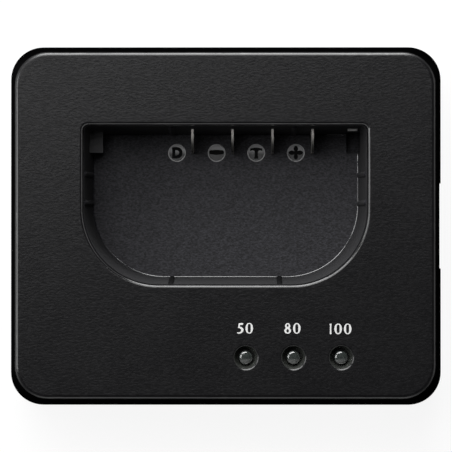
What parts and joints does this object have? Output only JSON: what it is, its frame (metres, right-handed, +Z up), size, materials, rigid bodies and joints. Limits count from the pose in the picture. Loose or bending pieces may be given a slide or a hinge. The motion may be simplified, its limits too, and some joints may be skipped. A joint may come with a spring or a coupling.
{
  "type": "camera battery charger",
  "caption": "Low box-shaped battery charger with a deep D-shaped pocket, upright blade contacts at its back wall, a row of charge lamps and a mains inlet in its side.",
  "frame": {"origin": "on the table plane under the feet, at the middle of the case's outline", "axes": "+X to the right where the mains inlet is, +Y to the back where the contacts are, +Z up"},
  "size_m": [0.0976, 0.0812, 0.032],
  "materials": {
    "case_plastic": "black, fine moulded leather-like grain",
    "foot_rubber": "matt black",
    "contact_metal": "nickel plated, satin",
    "lamp_lens": "clear domed resin, unlit",
    "inlet_plastic": "black, fine satin",
    "pin_metal": "nickel plated, polished",
    "screw_steel": "zinc plated",
    "lead_metal": "tinned",
    "holder_plastic": "black moulded",
    "board_laminate": "green solder mask",
    "component_black": "moulded epoxy",
    "capacitor_sleeve": "shrunk sleeve",
    "film_yellow": "moulded box",
    "ceramic_blue": "dipped coating",
    "ferrite": "matt ground ferrite",
    "copper_wire": "enamelled copper",
    "legend_print": "pale pad-printed numerals"
  },
  "bodies": {
    "root": {"upper_shell": "case_plastic", "lower_shell": "case_plastic", "foot_back_left": "foot_rubber", "foot_back_right": "foot_rubber", "foot_front_left": "foot_rubber", "foot_front_right": "foot_rubber", "contact_data": "contact_metal", "contact_minus": "contact_metal", "contact_temperature": "contact_metal", "contact_plus": "contact_metal", "led_50": "lamp_lens", "led_80": "lamp_lens", "led_100": "lamp_lens", "inlet_housing": "inlet_plastic", "inlet_pins": "pin_metal", "case_screws": "screw_steel", "board_screws": "screw_steel", "led_leads": "lead_metal", "contact_carrier": "holder_plastic", "led_holder": "holder_plastic", "transformer_bobbin": "holder_plastic", "main_board": "board_laminate", "fuse": "component_black", "bridge_rectifier": "component_black", "switching_controller": "component_black", "optocoupler": "component_black", "output_diode": "component_black", "charge_controller": "component_black", "bulk_capacitor": "capacitor_sleeve", "output_capacitors": "capacitor_sleeve", "x_capacitor": "film_yellow", "y_capacitor": "ceramic_blue", "chip_parts": "ceramic_blue", "line_choke_core": "ferrite", "transformer_core": "ferrite", "output_choke_core": "ferrite", "line_choke_winding": "copper_wire", "transformer_winding": "copper_wire", "output_choke_winding": "copper_wire"}
  },
  "joints": []
}
